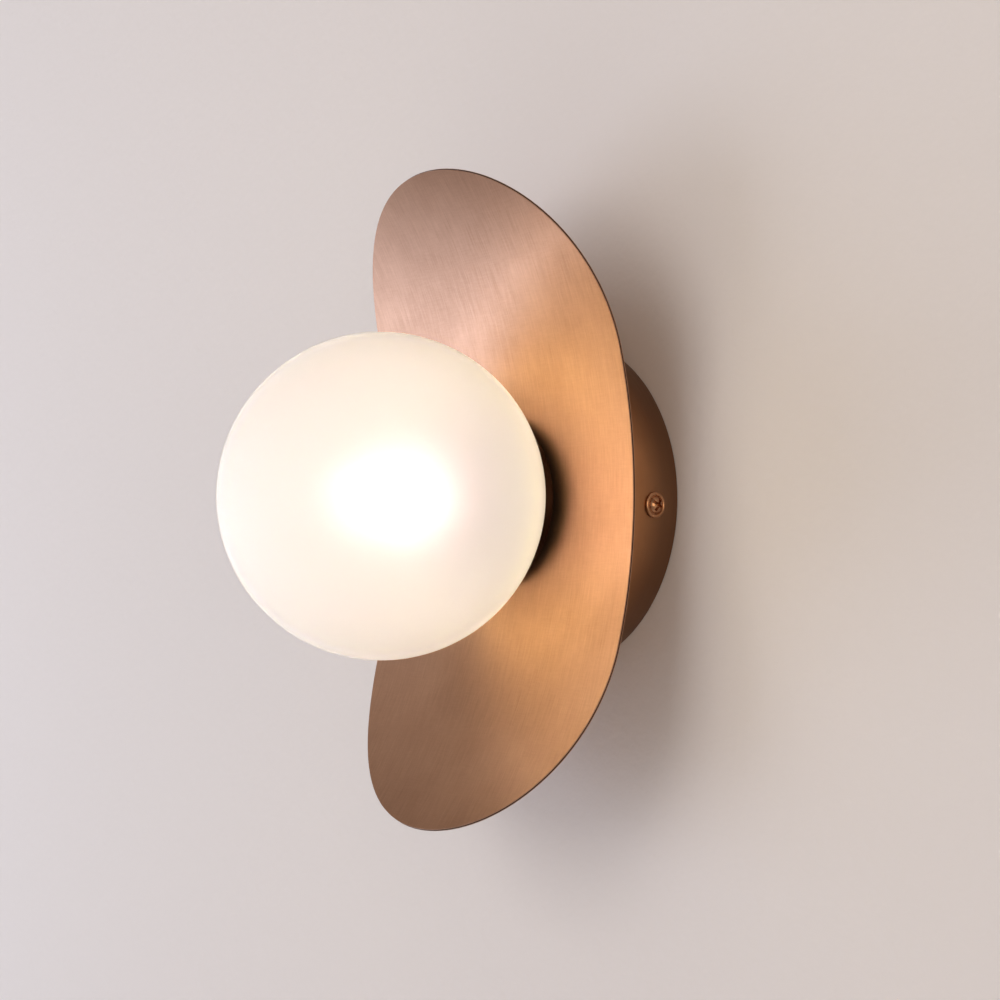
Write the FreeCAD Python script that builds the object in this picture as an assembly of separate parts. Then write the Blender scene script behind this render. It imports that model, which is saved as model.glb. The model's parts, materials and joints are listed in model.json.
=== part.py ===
import FreeCAD, Part
import math
import os

from FreeCAD import Vector

os.makedirs("parts", exist_ok=True)

# A wall lamp: an opal glass globe in front of a bent copper sheet, on a round canopy.
# It is drawn lying on its back: local z is the distance out from the wall, local x is
# level and local y is up. hang() then stands it against the wall, so that +Z is up,
# the wall is Y = 0 and the globe stands out towards -Y. All sizes are in millimetres.

# Canopy
canopy_diameter = 108.0
canopy_depth = 23.0
canopy_wall = 1.2
canopy_edge_radius = 2.2

# Copper sheet: a round-ended blank, rolled about a level axis in front of it
plate_width = 118.0
plate_length = 219.5
plate_end_length = 66.0
plate_thickness = 1.0
plate_bend_radius = 167.0

# Globe: blown opal glass, and the threaded collar that is cemented into its mouth
globe_diameter = 100.0
globe_glass = 2.6
globe_mouth_radius = 22.8
collar_length = 9.5
collar_wall = 1.5
collar_edge_bevel = 0.5
cement_gap = 0.05

# Coarse thread between collar and fitter, right-handed
thread_pitch = 4.0
thread_depth = 1.4
thread_foot_width = 2.2
thread_tip_width = 1.2
thread_turns = 1.75
thread_gap = 0.5
thread_flank_gap = 0.3
thread_lead_in = 1.3
thread_bite = 0.25
collar_thread_turns = 1.35
collar_thread_start_turn = 0.5

# Seal on the globe's mouth
seal_thickness = 0.8
seal_inset = 0.2

# Fitter: turned cup that carries the globe
fitter_core_radius = 18.2
fitter_tube_wall = 1.5
fitter_floor = 1.5
fitter_lip_radius = 26.4
fitter_lip_wall = 0.8
fitter_lip_height = 2.0
fitter_edge_bevel = 0.5

# Hollow nipple, its nuts and its toothed washers
nipple_diameter = 10.0
nipple_wall = 1.2
nipple_rear_reach = 1.6
nipple_front_reach = 0.5
nut_across_flats = 14.0
nut_thickness = 3.0
nut_chamfer = 0.6
washer_diameter = 16.0
washer_thickness = 0.7
washer_teeth = 12
washer_tooth_depth = 1.6
thread_fit = 0.05
hole_clearance = 0.2

# Saddle spacer between the sheet and the fitter
spacer_diameter = 24.0
spacer_thickness = 2.5

# Bushes in the nipple's ends
bush_flange_diameter = 10.0
bush_flange_thickness = 0.8
bush_depth = 3.0
bush_wall = 0.65

# Wall bracket
bracket_thickness = 1.5
bracket_arm_width = 24.0
bracket_upright_width = 32.0
bracket_upright_length = 76.0
bracket_corner_radius = 4.0
bracket_bend_radius = 1.5
bracket_cable_hole = 16.0
ear_width = 14.0
ear_height = 17.0
ear_gap = 0.35
wall_slot_spacing = 64.0
wall_slot_width = 5.0
wall_slot_length = 12.0

# Side screws: low pan heads with a cross recess
side_screw_diameter = 4.0
side_screw_length = 8.0
side_screw_head_diameter = 8.0
side_screw_head_height = 1.9
side_screw_head_rounding = 1.3
side_screw_height = 10.0
side_screw_drop = 2.1
cross_width = 1.1
cross_length = 4.4
cross_depth = 1.5

# Terminal block
block_pole_pitch = 9.5
block_end_wall = 0.5
block_width = 17.0
block_base_height = 9.0
block_centre_drop = 24.5
block_tower_radius = 3.0
block_tower_height = 4.5
block_edge_radius = 1.0
block_poles = 3
clamp_side = 5.0
clamp_passage = 3.4
clamp_length = 14.0
clamp_axis_height = 5.5
clamp_gap = 0.05
terminal_screw_spacing = 9.2
terminal_screw_diameter = 3.0
terminal_screw_sink = 1.6
small_slot_width = 0.6
small_slot_depth = 0.6
tip_gap = 0.05

# Small machine screws: block fixing, holder fixing and earth screw
fixing_screw_diameter = 3.0
fixing_screw_head_diameter = 5.4
fixing_screw_head_height = 1.8
earth_screw_diameter = 4.0
earth_screw_head_diameter = 7.0
earth_screw_head_height = 2.4
earth_screw_rise = 28.0
wall_relief = 0.2

# Earth ring terminal
ring_outer_diameter = 8.4
ring_thickness = 0.8
ring_barrel_diameter = 3.4
ring_barrel_length = 6.0
ring_neck_length = 1.5
ring_neck_width = 3.0

# Leads: single core with silicone insulation
lead_diameter = 1.9
lead_spread = 1.5
lead_fit = 0.05
corner_run_share = 0.45
lead_rise = 5.0
lead_entry_run = 0.6
earth_lead_swing = 3.0

# Folded bridge that carries the lampholder
bridge_thickness = 1.0
bridge_base_width = 15.0
bridge_inner_span = 18.0
bridge_span = 31.6
bridge_height = 10.0
bridge_foot_width = 8.0
bridge_bend_radius = 0.8

# Ceramic lampholder for a bulb with two wire loops
holder_length = 19.0
holder_width = 13.0
holder_height = 14.0
holder_corner_radius = 4.0
holder_ear_thickness = 4.0
holder_ear_corner_radius = 2.0
holder_screw_spacing = 25.4
holder_screw_length = 8.0
holder_edge_bevel = 0.8
recess_length = 14.6
recess_width = 6.6
recess_depth = 3.5
recess_corner_radius = 1.5
pin_spacing = 9.0
contact_slot_length = 3.6
contact_slot_width = 3.0
contact_slot_depth = 7.0
contact_strip = 0.4
contact_width = 2.8
holder_lead_spacing = 7.6
holder_lead_gap = 0.3

# Bulb
pin_wire = 0.8
pin_loop_width = 2.4
pin_length = 6.0
pin_grip_gap = 0.05
tongue_gap = 0.4
tongue_floor_gap = 0.3
bulb_diameter = 15.0
bulb_base_height = 6.0
bulb_base_edge = 0.6
bulb_spigot_height = 2.0
bulb_cover_diameter = 14.4
bulb_cover_wall = 0.9
bulb_cover_gap = 0.1
bulb_cover_length = 30.0
board_width = 9.6
board_thickness = 1.2
board_length = 22.0
diode_length = 3.0
diode_width = 2.6
diode_thickness = 0.7
diode_rows = 5
diode_columns = 2
diode_row_share = 0.19
diode_column_share = 0.44
cover_rounding_share = 0.5

# One overrun serves all cuts. The two tolerances only steer the modelling.
overrun = 1.0
same_point = 1e-6
offset_tolerance = 1e-4

# Places that follow from the sizes above, as distances out from the wall
canopy_radius = canopy_diameter / 2
canopy_inside = canopy_depth - canopy_wall
plate_front = canopy_depth + plate_thickness
bend_axis_height = plate_front + plate_bend_radius
fitter_back = plate_front + spacer_thickness
fitter_seat = fitter_back + fitter_floor
mouth_height = fitter_seat + seal_thickness
globe_radius = globe_diameter / 2
globe_height = mouth_height + math.sqrt(globe_radius ** 2 - globe_mouth_radius ** 2)
collar_end = mouth_height + collar_length
thread_male_radius = fitter_core_radius + thread_depth
thread_bore_radius = thread_male_radius + thread_gap
collar_radius = thread_bore_radius + collar_wall
thread_start = mouth_height + thread_lead_in + thread_foot_width / 2 - thread_flank_gap
thread_end = thread_start + thread_turns * thread_pitch + thread_foot_width / 2
fitter_front = thread_end + thread_flank_gap + fitter_edge_bevel
nipple_radius = nipple_diameter / 2
nipple_bore_radius = nipple_radius - nipple_wall
rear_washer_height = canopy_inside - washer_thickness
rear_nut_height = rear_washer_height - nut_thickness
nipple_rear = rear_nut_height - nipple_rear_reach
bridge_front = fitter_seat + bridge_thickness
front_nut_height = bridge_front + washer_thickness
nipple_front = front_nut_height + nut_thickness + nipple_front_reach
holder_back = fitter_seat + bridge_height
holder_front = holder_back + holder_height
recess_floor = holder_front - recess_depth
contact_floor = recess_floor - contact_slot_depth
tongue_back = recess_floor + tongue_floor_gap
bulb_base_front = holder_front + bulb_base_height
spigot_front = bulb_base_front + bulb_spigot_height
clamp_height = bracket_thickness + clamp_axis_height
block_front = bracket_thickness + block_base_height
ring_barrel_height = bracket_thickness + ring_barrel_diameter / 2
ring_barrel_end = earth_screw_rise - ring_outer_diameter / 2 - ring_neck_length


def disc(radius, thickness, height):
    return Part.makeCylinder(radius, thickness, Vector(0, 0, height))


def ring(outer_radius, inner_radius, thickness, height):
    hole = disc(inner_radius, thickness + 2 * overrun, height - overrun)
    return disc(outer_radius, thickness, height).cut(hole)


def slab(length, width, thickness, height, x=0.0, y=0.0):
    corner = Vector(x - length / 2, y - width / 2, height)
    return Part.makeBox(length, width, thickness, corner)


def post(radius, start, end):
    return Part.makeCylinder(radius, start.distanceToPoint(end), start, end - start)


def rounded_path(corners, closed=True):
    # Straight runs joined by tangent arcs. Each corner is a point and its radius, 0 if sharp.
    stops = []
    for index, (point, radius) in enumerate(corners):
        at_end = not closed and index in (0, len(corners) - 1)
        if radius == 0 or at_end:
            stops.append((point, None, point))
            continue
        before = corners[index - 1][0] - point
        after = corners[(index + 1) % len(corners)][0] - point
        before.normalize()
        after.normalize()
        half = before.getAngle(after) / 2
        setback = radius / math.tan(half)
        middle = before + after
        middle.normalize()
        deepest = point + middle * (radius / math.sin(half) - radius)
        stops.append((point + before * setback, deepest, point + after * setback))
    edges = []
    last_end = stops[-1][2] if closed else stops[0][0]
    for start, deepest, end in stops:
        if not last_end.isEqual(start, same_point):
            edges.append(Part.LineSegment(last_end, start).toShape())
        if deepest is not None:
            edges.append(Part.Arc(start, deepest, end).toShape())
        last_end = end
    return edges


def turned(points):
    # A piece turned about the lamp's axis, from its radii, heights and corner radii
    corners = [(Vector(radius, 0, height), rounding) for radius, height, rounding in points]
    return revolved(rounded_path(corners))


def revolved(edges):
    face = Part.Face(Part.Wire(edges))
    return face.revolve(Vector(0, 0, 0), Vector(0, 0, 1), 360)


def rounded_block(length, width, thickness, height, rounding, x=0.0, y=0.0):
    corners = []
    for side, end in ((1, 1), (-1, 1), (-1, -1), (1, -1)):
        point = Vector(x + side * length / 2, y + end * width / 2, height)
        corners.append((point, rounding))
    face = Part.Face(Part.Wire(rounded_path(corners)))
    return face.extrude(Vector(0, 0, thickness))


def folded_strip(points, width, y=0.0):
    # A strip folded from sheet: its section in the xz plane, extruded across its width
    corners = [(Vector(x, y - width / 2, z), rounding) for x, z, rounding in points]
    face = Part.Face(Part.Wire(rounded_path(corners)))
    return face.extrude(Vector(0, width, 0))


def fused(shapes):
    return shapes[0].multiFuse(shapes[1:]).removeSplitter()


def hang(shape):
    standing = shape.copy()
    standing.rotate(Vector(0, 0, 0), Vector(1, 0, 0), 90)
    return standing


def save(name, shape):
    piece = hang(shape)
    piece.exportStep("parts/" + name + ".step")
    print(name, "solids", len(piece.Solids), "valid", piece.isValid(), "volume", round(piece.Volume, 1))


def canopy():
    # Pressed cup, open to the wall, drilled for the nipple and the side screws
    hole_radius = nipple_radius + hole_clearance
    cup = turned([
        (canopy_radius, 0, 0),
        (canopy_radius, canopy_depth, canopy_edge_radius),
        (hole_radius, canopy_depth, 0),
        (hole_radius, canopy_inside, 0),
        (canopy_radius - canopy_wall, canopy_inside, 0),
        (canopy_radius - canopy_wall, 0, 0),
    ])
    reach = canopy_radius + overrun
    left = Vector(-reach, -side_screw_drop, side_screw_height)
    right = Vector(reach, -side_screw_drop, side_screw_height)
    return cup.cut(post(side_screw_diameter / 2 + hole_clearance, left, right))


def curved_plate():
    # The blank is drawn on the unrolled cylinder, an angle one way and a length the other,
    # so it keeps its cut size when it is rolled: straight sides and half-oval ends.
    rolled = Part.Cylinder()
    rolled.Radius = plate_bend_radius
    point = FreeCAD.Base.Vector2d
    half_width = plate_width / 2
    straight = (plate_length / 2 - plate_end_length) / plate_bend_radius
    end = plate_end_length / plate_bend_radius
    edges = []
    for side in (1, -1):
        corner = point(side * straight, side * half_width)
        tip = point(side * (straight + end), 0)
        oval = Part.Geom2d.Ellipse2d(corner, tip, point(side * straight, 0))
        edges.append(Part.Geom2d.ArcOfEllipse2d(oval, 0, math.pi).toShape(rolled))
        across = point(-side * straight, side * half_width)
        edges.append(Part.Geom2d.Line2dSegment(across, corner).toShape(rolled))
    outline = Part.Wire(Part.__sortEdges__(edges))
    face = Part.Face(rolled, outline)
    face.validate()
    sheet = face.makeOffsetShape(plate_thickness, offset_tolerance, fill=True)
    sheet.rotate(Vector(0, 0, 0), Vector(0, 1, 0), 90)
    sheet.translate(Vector(0, 0, bend_axis_height))
    return sheet.cut(disc(nipple_radius + hole_clearance, plate_front, overrun))


def saddle_spacer():
    # Flat in front for the fitter, hollowed behind to the sheet's own curve
    hole_radius = nipple_radius + hole_clearance
    blank = ring(spacer_diameter / 2, hole_radius, fitter_back - canopy_depth, canopy_depth)
    left = Vector(-spacer_diameter, 0, bend_axis_height)
    right = Vector(spacer_diameter, 0, bend_axis_height)
    return blank.common(post(plate_bend_radius, left, right))


def thread_rib(foot_radius, tip_radius, start_height, start_turn, turns):
    # A trapezoid rib on a right-hand helix, its flanks carried on into the wall by the bite
    inward = 1 if tip_radius < foot_radius else -1
    flank_slope = (thread_foot_width - thread_tip_width) / 2 / thread_depth
    half_root = thread_foot_width / 2 + flank_slope * thread_bite
    half_tip = thread_tip_width / 2
    root_radius = foot_radius + inward * thread_bite
    corners = [
        Vector(root_radius, 0, -half_root),
        Vector(tip_radius, 0, -half_tip),
        Vector(tip_radius, 0, half_tip),
        Vector(root_radius, 0, half_root),
    ]
    section = Part.makePolygon(corners + corners[:1])
    helix = Part.makeHelix(thread_pitch, turns * thread_pitch, root_radius)
    rib = Part.Wire(helix.Edges).makePipeShell([section], True, True)
    rib.rotate(Vector(0, 0, 0), Vector(0, 0, 1), 360 * start_turn)
    rib.translate(Vector(0, 0, start_height))
    return rib


def globe_fitter():
    # Turned cup: floor, low lip round the globe's mouth, and a threaded tube
    hole_radius = nipple_radius + hole_clearance
    tube_bore = fitter_core_radius - fitter_tube_wall
    lip_front = fitter_seat + fitter_lip_height
    cup = turned([
        (fitter_lip_radius - fitter_edge_bevel, fitter_back, 0),
        (fitter_lip_radius, fitter_back + fitter_edge_bevel, 0),
        (fitter_lip_radius, lip_front, 0),
        (fitter_lip_radius - fitter_lip_wall, lip_front, 0),
        (fitter_lip_radius - fitter_lip_wall, fitter_seat, 0),
        (fitter_core_radius, fitter_seat, 0),
        (fitter_core_radius, fitter_front - fitter_edge_bevel, 0),
        (fitter_core_radius - fitter_edge_bevel, fitter_front, 0),
        (tube_bore, fitter_front, 0),
        (tube_bore, fitter_seat, 0),
        (hole_radius, fitter_seat, 0),
        (hole_radius, fitter_back, 0),
    ])
    rib = thread_rib(fitter_core_radius, thread_male_radius, thread_start, 0, thread_turns)
    return cup.fuse(rib)


def globe():
    # Blown ball, bored at its mouth for the collar
    inside_radius = globe_radius - globe_glass
    mouth_bore = collar_radius + cement_gap
    bore_end = globe_height - math.sqrt(inside_radius ** 2 - mouth_bore ** 2)
    lean = math.atan2(mouth_bore, globe_height - bore_end)
    mid_outside = Vector(globe_radius, 0, globe_height)
    mid_inside = Vector(inside_radius * math.cos(lean), 0, globe_height + inside_radius * math.sin(lean))
    front = Vector(0, 0, globe_height + globe_radius)
    front_inside = Vector(0, 0, globe_height + inside_radius)
    mouth = Vector(globe_mouth_radius, 0, mouth_height)
    mouth_inside = Vector(mouth_bore, 0, mouth_height)
    bored = Vector(mouth_bore, 0, bore_end)
    outline = [
        Part.Arc(front, mid_outside, mouth).toShape(),
        Part.LineSegment(mouth, mouth_inside).toShape(),
        Part.LineSegment(mouth_inside, bored).toShape(),
        Part.Arc(bored, mid_inside, front_inside).toShape(),
        Part.LineSegment(front_inside, front).toShape(),
    ]
    return revolved(outline)


def globe_collar():
    # Moulded ring with the rib of the thread inside, open at both ends
    sleeve = turned([
        (thread_bore_radius, mouth_height, 0),
        (collar_radius, mouth_height, 0),
        (collar_radius, collar_end - collar_edge_bevel, 0),
        (collar_radius - collar_edge_bevel, collar_end, 0),
        (thread_bore_radius + collar_edge_bevel, collar_end, 0),
        (thread_bore_radius, collar_end - collar_edge_bevel, 0),
    ])
    # Half a pitch from the fitter's rib, moved out until the loaded flanks nearly meet
    mid_width = (thread_foot_width + thread_tip_width) / 2
    offset = thread_pitch - mid_width - thread_flank_gap
    start_turn = collar_thread_start_turn
    start_height = thread_start + offset + (start_turn - 1) * thread_pitch
    tip_radius = thread_bore_radius - thread_depth
    rib = thread_rib(thread_bore_radius, tip_radius, start_height, start_turn, collar_thread_turns)
    return sleeve.fuse(rib)


def globe_seal():
    return ring(globe_mouth_radius - seal_inset, thread_bore_radius, seal_thickness, fitter_seat)


def hollow_nipple():
    return ring(nipple_radius, nipple_bore_radius, nipple_front - nipple_rear, nipple_rear)


def lock_nut(height):
    # Hexagon with both ends turned to a chamfer, its thread drawn as a plain running bore
    corner_radius = nut_across_flats / math.sqrt(3)
    corners = []
    for side in range(7):
        angle = math.radians(60 * side)
        corners.append(Vector(corner_radius * math.cos(angle), corner_radius * math.sin(angle), height))
    prism = Part.Face(Part.makePolygon(corners)).extrude(Vector(0, 0, nut_thickness))
    top = height + nut_thickness
    chamfer_height = nut_chamfer / 2
    blank = turned([
        (0, height, 0),
        (corner_radius - nut_chamfer, height, 0),
        (corner_radius, height + chamfer_height, 0),
        (corner_radius, top - chamfer_height, 0),
        (corner_radius - nut_chamfer, top, 0),
        (0, top, 0),
    ])
    bore = disc(nipple_radius + thread_fit, nut_thickness + 2 * overrun, height - overrun)
    return prism.common(blank).cut(bore)


def tooth_washer(height):
    # Flat lock washer with square teeth round its rim
    washer = ring(washer_diameter / 2, nipple_radius + hole_clearance, washer_thickness, height)
    gap_width = math.pi * washer_diameter / washer_teeth / 2
    gaps = []
    for tooth in range(washer_teeth):
        gap = slab(2 * washer_tooth_depth, gap_width, washer_thickness, height, washer_diameter / 2)
        gap.rotate(Vector(0, 0, 0), Vector(0, 0, 1), 360 * tooth / washer_teeth)
        gaps.append(gap)
    return washer.cut(Part.makeCompound(gaps))


def nipple_bushes():
    # A flanged bush pushed into each end, so that the leads don't chafe
    spigot_radius = nipple_bore_radius - thread_fit
    bore_radius = spigot_radius - bush_wall
    bushes = []
    for end, way in ((nipple_rear, -1), (nipple_front, 1)):
        outline = [
            (bore_radius, end - way * bush_depth, 0),
            (spigot_radius, end - way * bush_depth, 0),
            (spigot_radius, end, 0),
            (bush_flange_diameter / 2, end, 0),
            (bush_flange_diameter / 2, end + way * bush_flange_thickness, 0),
            (bore_radius, end + way * bush_flange_thickness, 0),
        ]
        bushes.append(turned(outline))
    return Part.makeCompound(bushes)


def wall_bracket():
    # Cross of flat steel. The level arm's ends are folded out into tapped ears.
    reach = math.sqrt((canopy_radius - canopy_wall) ** 2 - (side_screw_drop + ear_width / 2) ** 2) - ear_gap
    inner = reach - bracket_thickness
    outer_bend = bracket_bend_radius + bracket_thickness
    ears = folded_strip([
        (reach, 0, outer_bend),
        (reach, ear_height, 0),
        (inner, ear_height, 0),
        (inner, bracket_thickness, bracket_bend_radius),
        (-inner, bracket_thickness, bracket_bend_radius),
        (-inner, ear_height, 0),
        (-reach, ear_height, 0),
        (-reach, 0, outer_bend),
    ], ear_width, -side_screw_drop)
    arm_length = 2 * (reach - outer_bend) - 2 * ear_gap
    corner = bracket_corner_radius
    arm = rounded_block(arm_length, bracket_arm_width, bracket_thickness, 0, corner)
    upright = rounded_block(bracket_upright_width, bracket_upright_length, bracket_thickness, 0, corner)
    cross = fused([ears, arm, upright])
    depth = bracket_thickness + 2 * overrun
    cuts = [disc(bracket_cable_hole / 2, depth, -overrun)]
    for side in (1, -1):
        slot_x = side * wall_slot_spacing / 2
        slot_end = wall_slot_width / 2
        cuts.append(rounded_block(wall_slot_length, wall_slot_width, depth, -overrun, slot_end, slot_x))
    tapped_radius = side_screw_diameter / 2 + thread_fit
    left = Vector(-reach - overrun, -side_screw_drop, side_screw_height)
    right = Vector(reach + overrun, -side_screw_drop, side_screw_height)
    cuts.append(post(tapped_radius, left, right))
    for radius, x, y in (
        (earth_screw_diameter / 2 + thread_fit, 0, earth_screw_rise),
        (fixing_screw_diameter / 2 + thread_fit, -block_pole_pitch / 2, -block_centre_drop),
    ):
        cuts.append(post(radius, Vector(x, y, -overrun), Vector(x, y, bracket_thickness + overrun)))
    return cross.cut(Part.makeCompound(cuts))


def screw_blank(diameter, length, head_diameter, head_height, head_rounding=0.0):
    # Head above z = 0 and shank below it. With no rounding it is a cheese head.
    head_radius = head_diameter / 2
    return turned([
        (0, -length, 0),
        (diameter / 2, -length, 0),
        (diameter / 2, 0, 0),
        (head_radius, 0, 0),
        (head_radius, head_height, head_rounding),
        (0, head_height, 0),
    ])


def side_screws():
    # One pan head in each side of the canopy, with a cross recess for a driver
    screws = []
    for side in (1, -1):
        screw = screw_blank(
            side_screw_diameter, side_screw_length, side_screw_head_diameter, side_screw_head_height,
            side_screw_head_rounding)
        floor = side_screw_head_height - cross_depth
        for length, width in ((cross_length, cross_width), (cross_width, cross_length)):
            screw = screw.cut(slab(length, width, cross_depth + overrun, floor))
        screw.rotate(Vector(0, 0, 0), Vector(0, 1, 0), side * 90)
        screw.translate(Vector(side * canopy_radius, -side_screw_drop, side_screw_height))
        screws.append(screw)
    return Part.makeCompound(screws)


def slotted(screw, head_diameter, head_height):
    floor = head_height - small_slot_depth
    return screw.cut(slab(head_diameter + 2 * overrun, small_slot_width, small_slot_depth + overrun, floor))


def pole_places():
    first = -(block_poles - 1) / 2 * block_pole_pitch
    return [first + pole * block_pole_pitch for pole in range(block_poles)]


def terminal_places():
    places = []
    for x in pole_places():
        for side in (1, -1):
            places.append((x, side * terminal_screw_spacing / 2 - block_centre_drop))
    return places


def terminal_block():
    # Moulded block: a base with a tunnel for each pole and a tower over each screw
    length = block_poles * block_pole_pitch + 2 * block_end_wall
    base = rounded_block(
        length, block_width, block_base_height, bracket_thickness, block_edge_radius, 0, -block_centre_drop)
    towers = []
    cuts = []
    tower_front = block_front + block_tower_height
    well_radius = terminal_screw_diameter / 2 + hole_clearance
    for x, y in terminal_places():
        towers.append(post(block_tower_radius, Vector(x, y, clamp_height), Vector(x, y, tower_front)))
        cuts.append(post(well_radius, Vector(x, y, clamp_height), Vector(x, y, tower_front + overrun)))
    tunnel_side = clamp_side + 2 * clamp_gap
    tunnel_length = block_width + 2 * overrun
    for x in pole_places():
        tunnel_back = clamp_height - tunnel_side / 2
        cuts.append(slab(tunnel_side, tunnel_length, tunnel_side, tunnel_back, x, -block_centre_drop))
    fixing = Vector(-block_pole_pitch / 2, -block_centre_drop, 0)
    fixing_radius = fixing_screw_diameter / 2 + hole_clearance
    cuts.append(post(fixing_radius, fixing, fixing + Vector(0, 0, tower_front)))
    return fused([base] + towers).cut(Part.makeCompound(cuts))


def terminal_clamps():
    # Square brass tubes with a square passage, each tapped twice from the front
    cuts = []
    for x, y in terminal_places():
        start = Vector(x, y, clamp_height)
        cuts.append(post(terminal_screw_diameter / 2 + thread_fit, start, start + Vector(0, 0, clamp_side)))
    tube_back = clamp_height - clamp_side / 2
    passage_back = clamp_height - clamp_passage / 2
    passage_length = clamp_length + 2 * overrun
    clamps = []
    for x in pole_places():
        tube = slab(clamp_side, clamp_length, clamp_side, tube_back, x, -block_centre_drop)
        cuts.append(slab(clamp_passage, passage_length, clamp_passage, passage_back, x, -block_centre_drop))
        clamps.append(tube)
    return Part.makeCompound(clamps).cut(Part.makeCompound(cuts))


def terminal_screws():
    # Headless slotted screws, sunk in the towers and tightened on to the leads
    tip = clamp_height + lead_diameter / 2 + tip_gap
    length = block_front + block_tower_height - terminal_screw_sink - tip
    screws = []
    for x, y in terminal_places():
        screw = disc(terminal_screw_diameter / 2, length, 0)
        screw = slotted(screw, terminal_screw_diameter, length)
        screw.translate(Vector(x, y, tip))
        screws.append(screw)
    return Part.makeCompound(screws)


def terminal_fixing_screw():
    length = block_front - wall_relief
    screw = screw_blank(fixing_screw_diameter, length, fixing_screw_head_diameter, fixing_screw_head_height)
    screw = slotted(screw, fixing_screw_head_diameter, fixing_screw_head_height)
    screw.translate(Vector(-block_pole_pitch / 2, -block_centre_drop, block_front))
    return screw


def earth_ring():
    # Crimped ring terminal: a flat eye, a neck and a barrel round the lead
    hole_radius = earth_screw_diameter / 2 + hole_clearance
    eye = ring(ring_outer_diameter / 2, hole_radius, ring_thickness, bracket_thickness)
    eye.translate(Vector(0, earth_screw_rise, 0))
    barrel_start = Vector(0, ring_barrel_end - ring_barrel_length, ring_barrel_height)
    barrel_end = Vector(0, ring_barrel_end, ring_barrel_height)
    barrel = post(ring_barrel_diameter / 2, barrel_start, barrel_end)
    neck_end = earth_screw_rise - hole_radius - ring_thickness
    neck_start = ring_barrel_end - ring_neck_length
    neck_y = (neck_start + neck_end) / 2
    neck = slab(ring_neck_width, neck_end - neck_start, ring_thickness, bracket_thickness, 0, neck_y)
    past = Vector(0, overrun, 0)
    bore = post(lead_diameter / 2 + lead_fit, barrel_start - past, barrel_end + past)
    return fused([eye, neck, barrel]).cut(bore)


def earth_screw():
    grip = bracket_thickness + ring_thickness
    length = grip - wall_relief
    screw = screw_blank(earth_screw_diameter, length, earth_screw_head_diameter, earth_screw_head_height)
    screw = slotted(screw, earth_screw_head_diameter, earth_screw_head_height)
    screw.translate(Vector(0, earth_screw_rise, grip))
    return screw


def lead(name, points):
    # A tube along straight runs joined by the largest arcs that the runs allow
    corners = [(points[0], 0)]
    radii = []
    for before, point, after in zip(points, points[1:], points[2:]):
        turn = (point - before).getAngle(after - point)
        shorter = min(before.distanceToPoint(point), point.distanceToPoint(after))
        radius = corner_run_share * shorter / math.tan(turn / 2)
        radii.append(round(radius, 1))
        corners.append((point, radius))
    corners.append((points[-1], 0))
    path = Part.Wire(rounded_path(corners, closed=False))
    section = Part.Wire(Part.makeCircle(lead_diameter / 2, points[0], points[1] - points[0]))
    tube = path.makePipeShell([section], True, False)
    share = tube.Volume / (math.pi * lead_diameter ** 2 / 4 * path.Length)
    print(name, "radii", radii, "length", round(path.Length, 1), "volume share", round(share, 4))
    return tube


def holder_lead(name, pole, side):
    # From its clamp up behind the nipple, through the nipple and into the lampholder
    pole_x = pole_places()[pole]
    clamped = Vector(pole_x, -block_centre_drop + tip_gap, clamp_height)
    risen = Vector(pole_x, -block_centre_drop + block_width / 2 + lead_rise, clamp_height)
    behind = Vector(side * lead_spread, 0, clamp_height)
    through = Vector(side * lead_spread, 0, nipple_front + bush_flange_thickness + hole_clearance)
    entry_x = side * holder_lead_spacing / 2
    at_holder = Vector(entry_x, 0, holder_back - lead_entry_run)
    inside = Vector(entry_x, 0, contact_floor - tip_gap)
    return lead(name, [clamped, risen, behind, through, at_holder, inside])


def earth_lead():
    # From its clamp round the cable hole to the ring terminal
    pole_x = pole_places()[-1]
    clear_of_hole = bracket_cable_hole / 2 + lead_diameter
    points = [
        Vector(pole_x, -block_centre_drop + tip_gap, clamp_height),
        Vector(pole_x, -block_centre_drop + block_width / 2 + lead_rise, clamp_height),
        Vector(clear_of_hole, earth_lead_swing, (clamp_height + ring_barrel_height) / 2),
        Vector(0, ring_barrel_end - ring_barrel_length - lead_rise, ring_barrel_height),
        Vector(0, ring_barrel_end - tip_gap, ring_barrel_height),
    ]
    return lead("earth_lead", points)


def bridge_section():
    # From one foot down its arm, across the base and up to the other foot
    arm = bridge_inner_span / 2 + bridge_thickness
    inner = bridge_inner_span / 2
    foot = bridge_span / 2
    top = holder_back
    under = top - bridge_thickness
    outer_bend = bridge_bend_radius + bridge_thickness
    half = [
        (foot, top, 0),
        (foot, under, 0),
        (arm, under, bridge_bend_radius),
        (arm, fitter_seat, outer_bend),
    ]
    half_inner = [
        (inner, bridge_front, bridge_bend_radius),
        (inner, top, outer_bend),
    ]
    mirrored = [(-x, z, rounding) for x, z, rounding in half]
    mirrored_inner = [(-x, z, rounding) for x, z, rounding in half_inner]
    section = half + mirrored[::-1] + mirrored_inner[::-1] + half_inner
    return section


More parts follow.
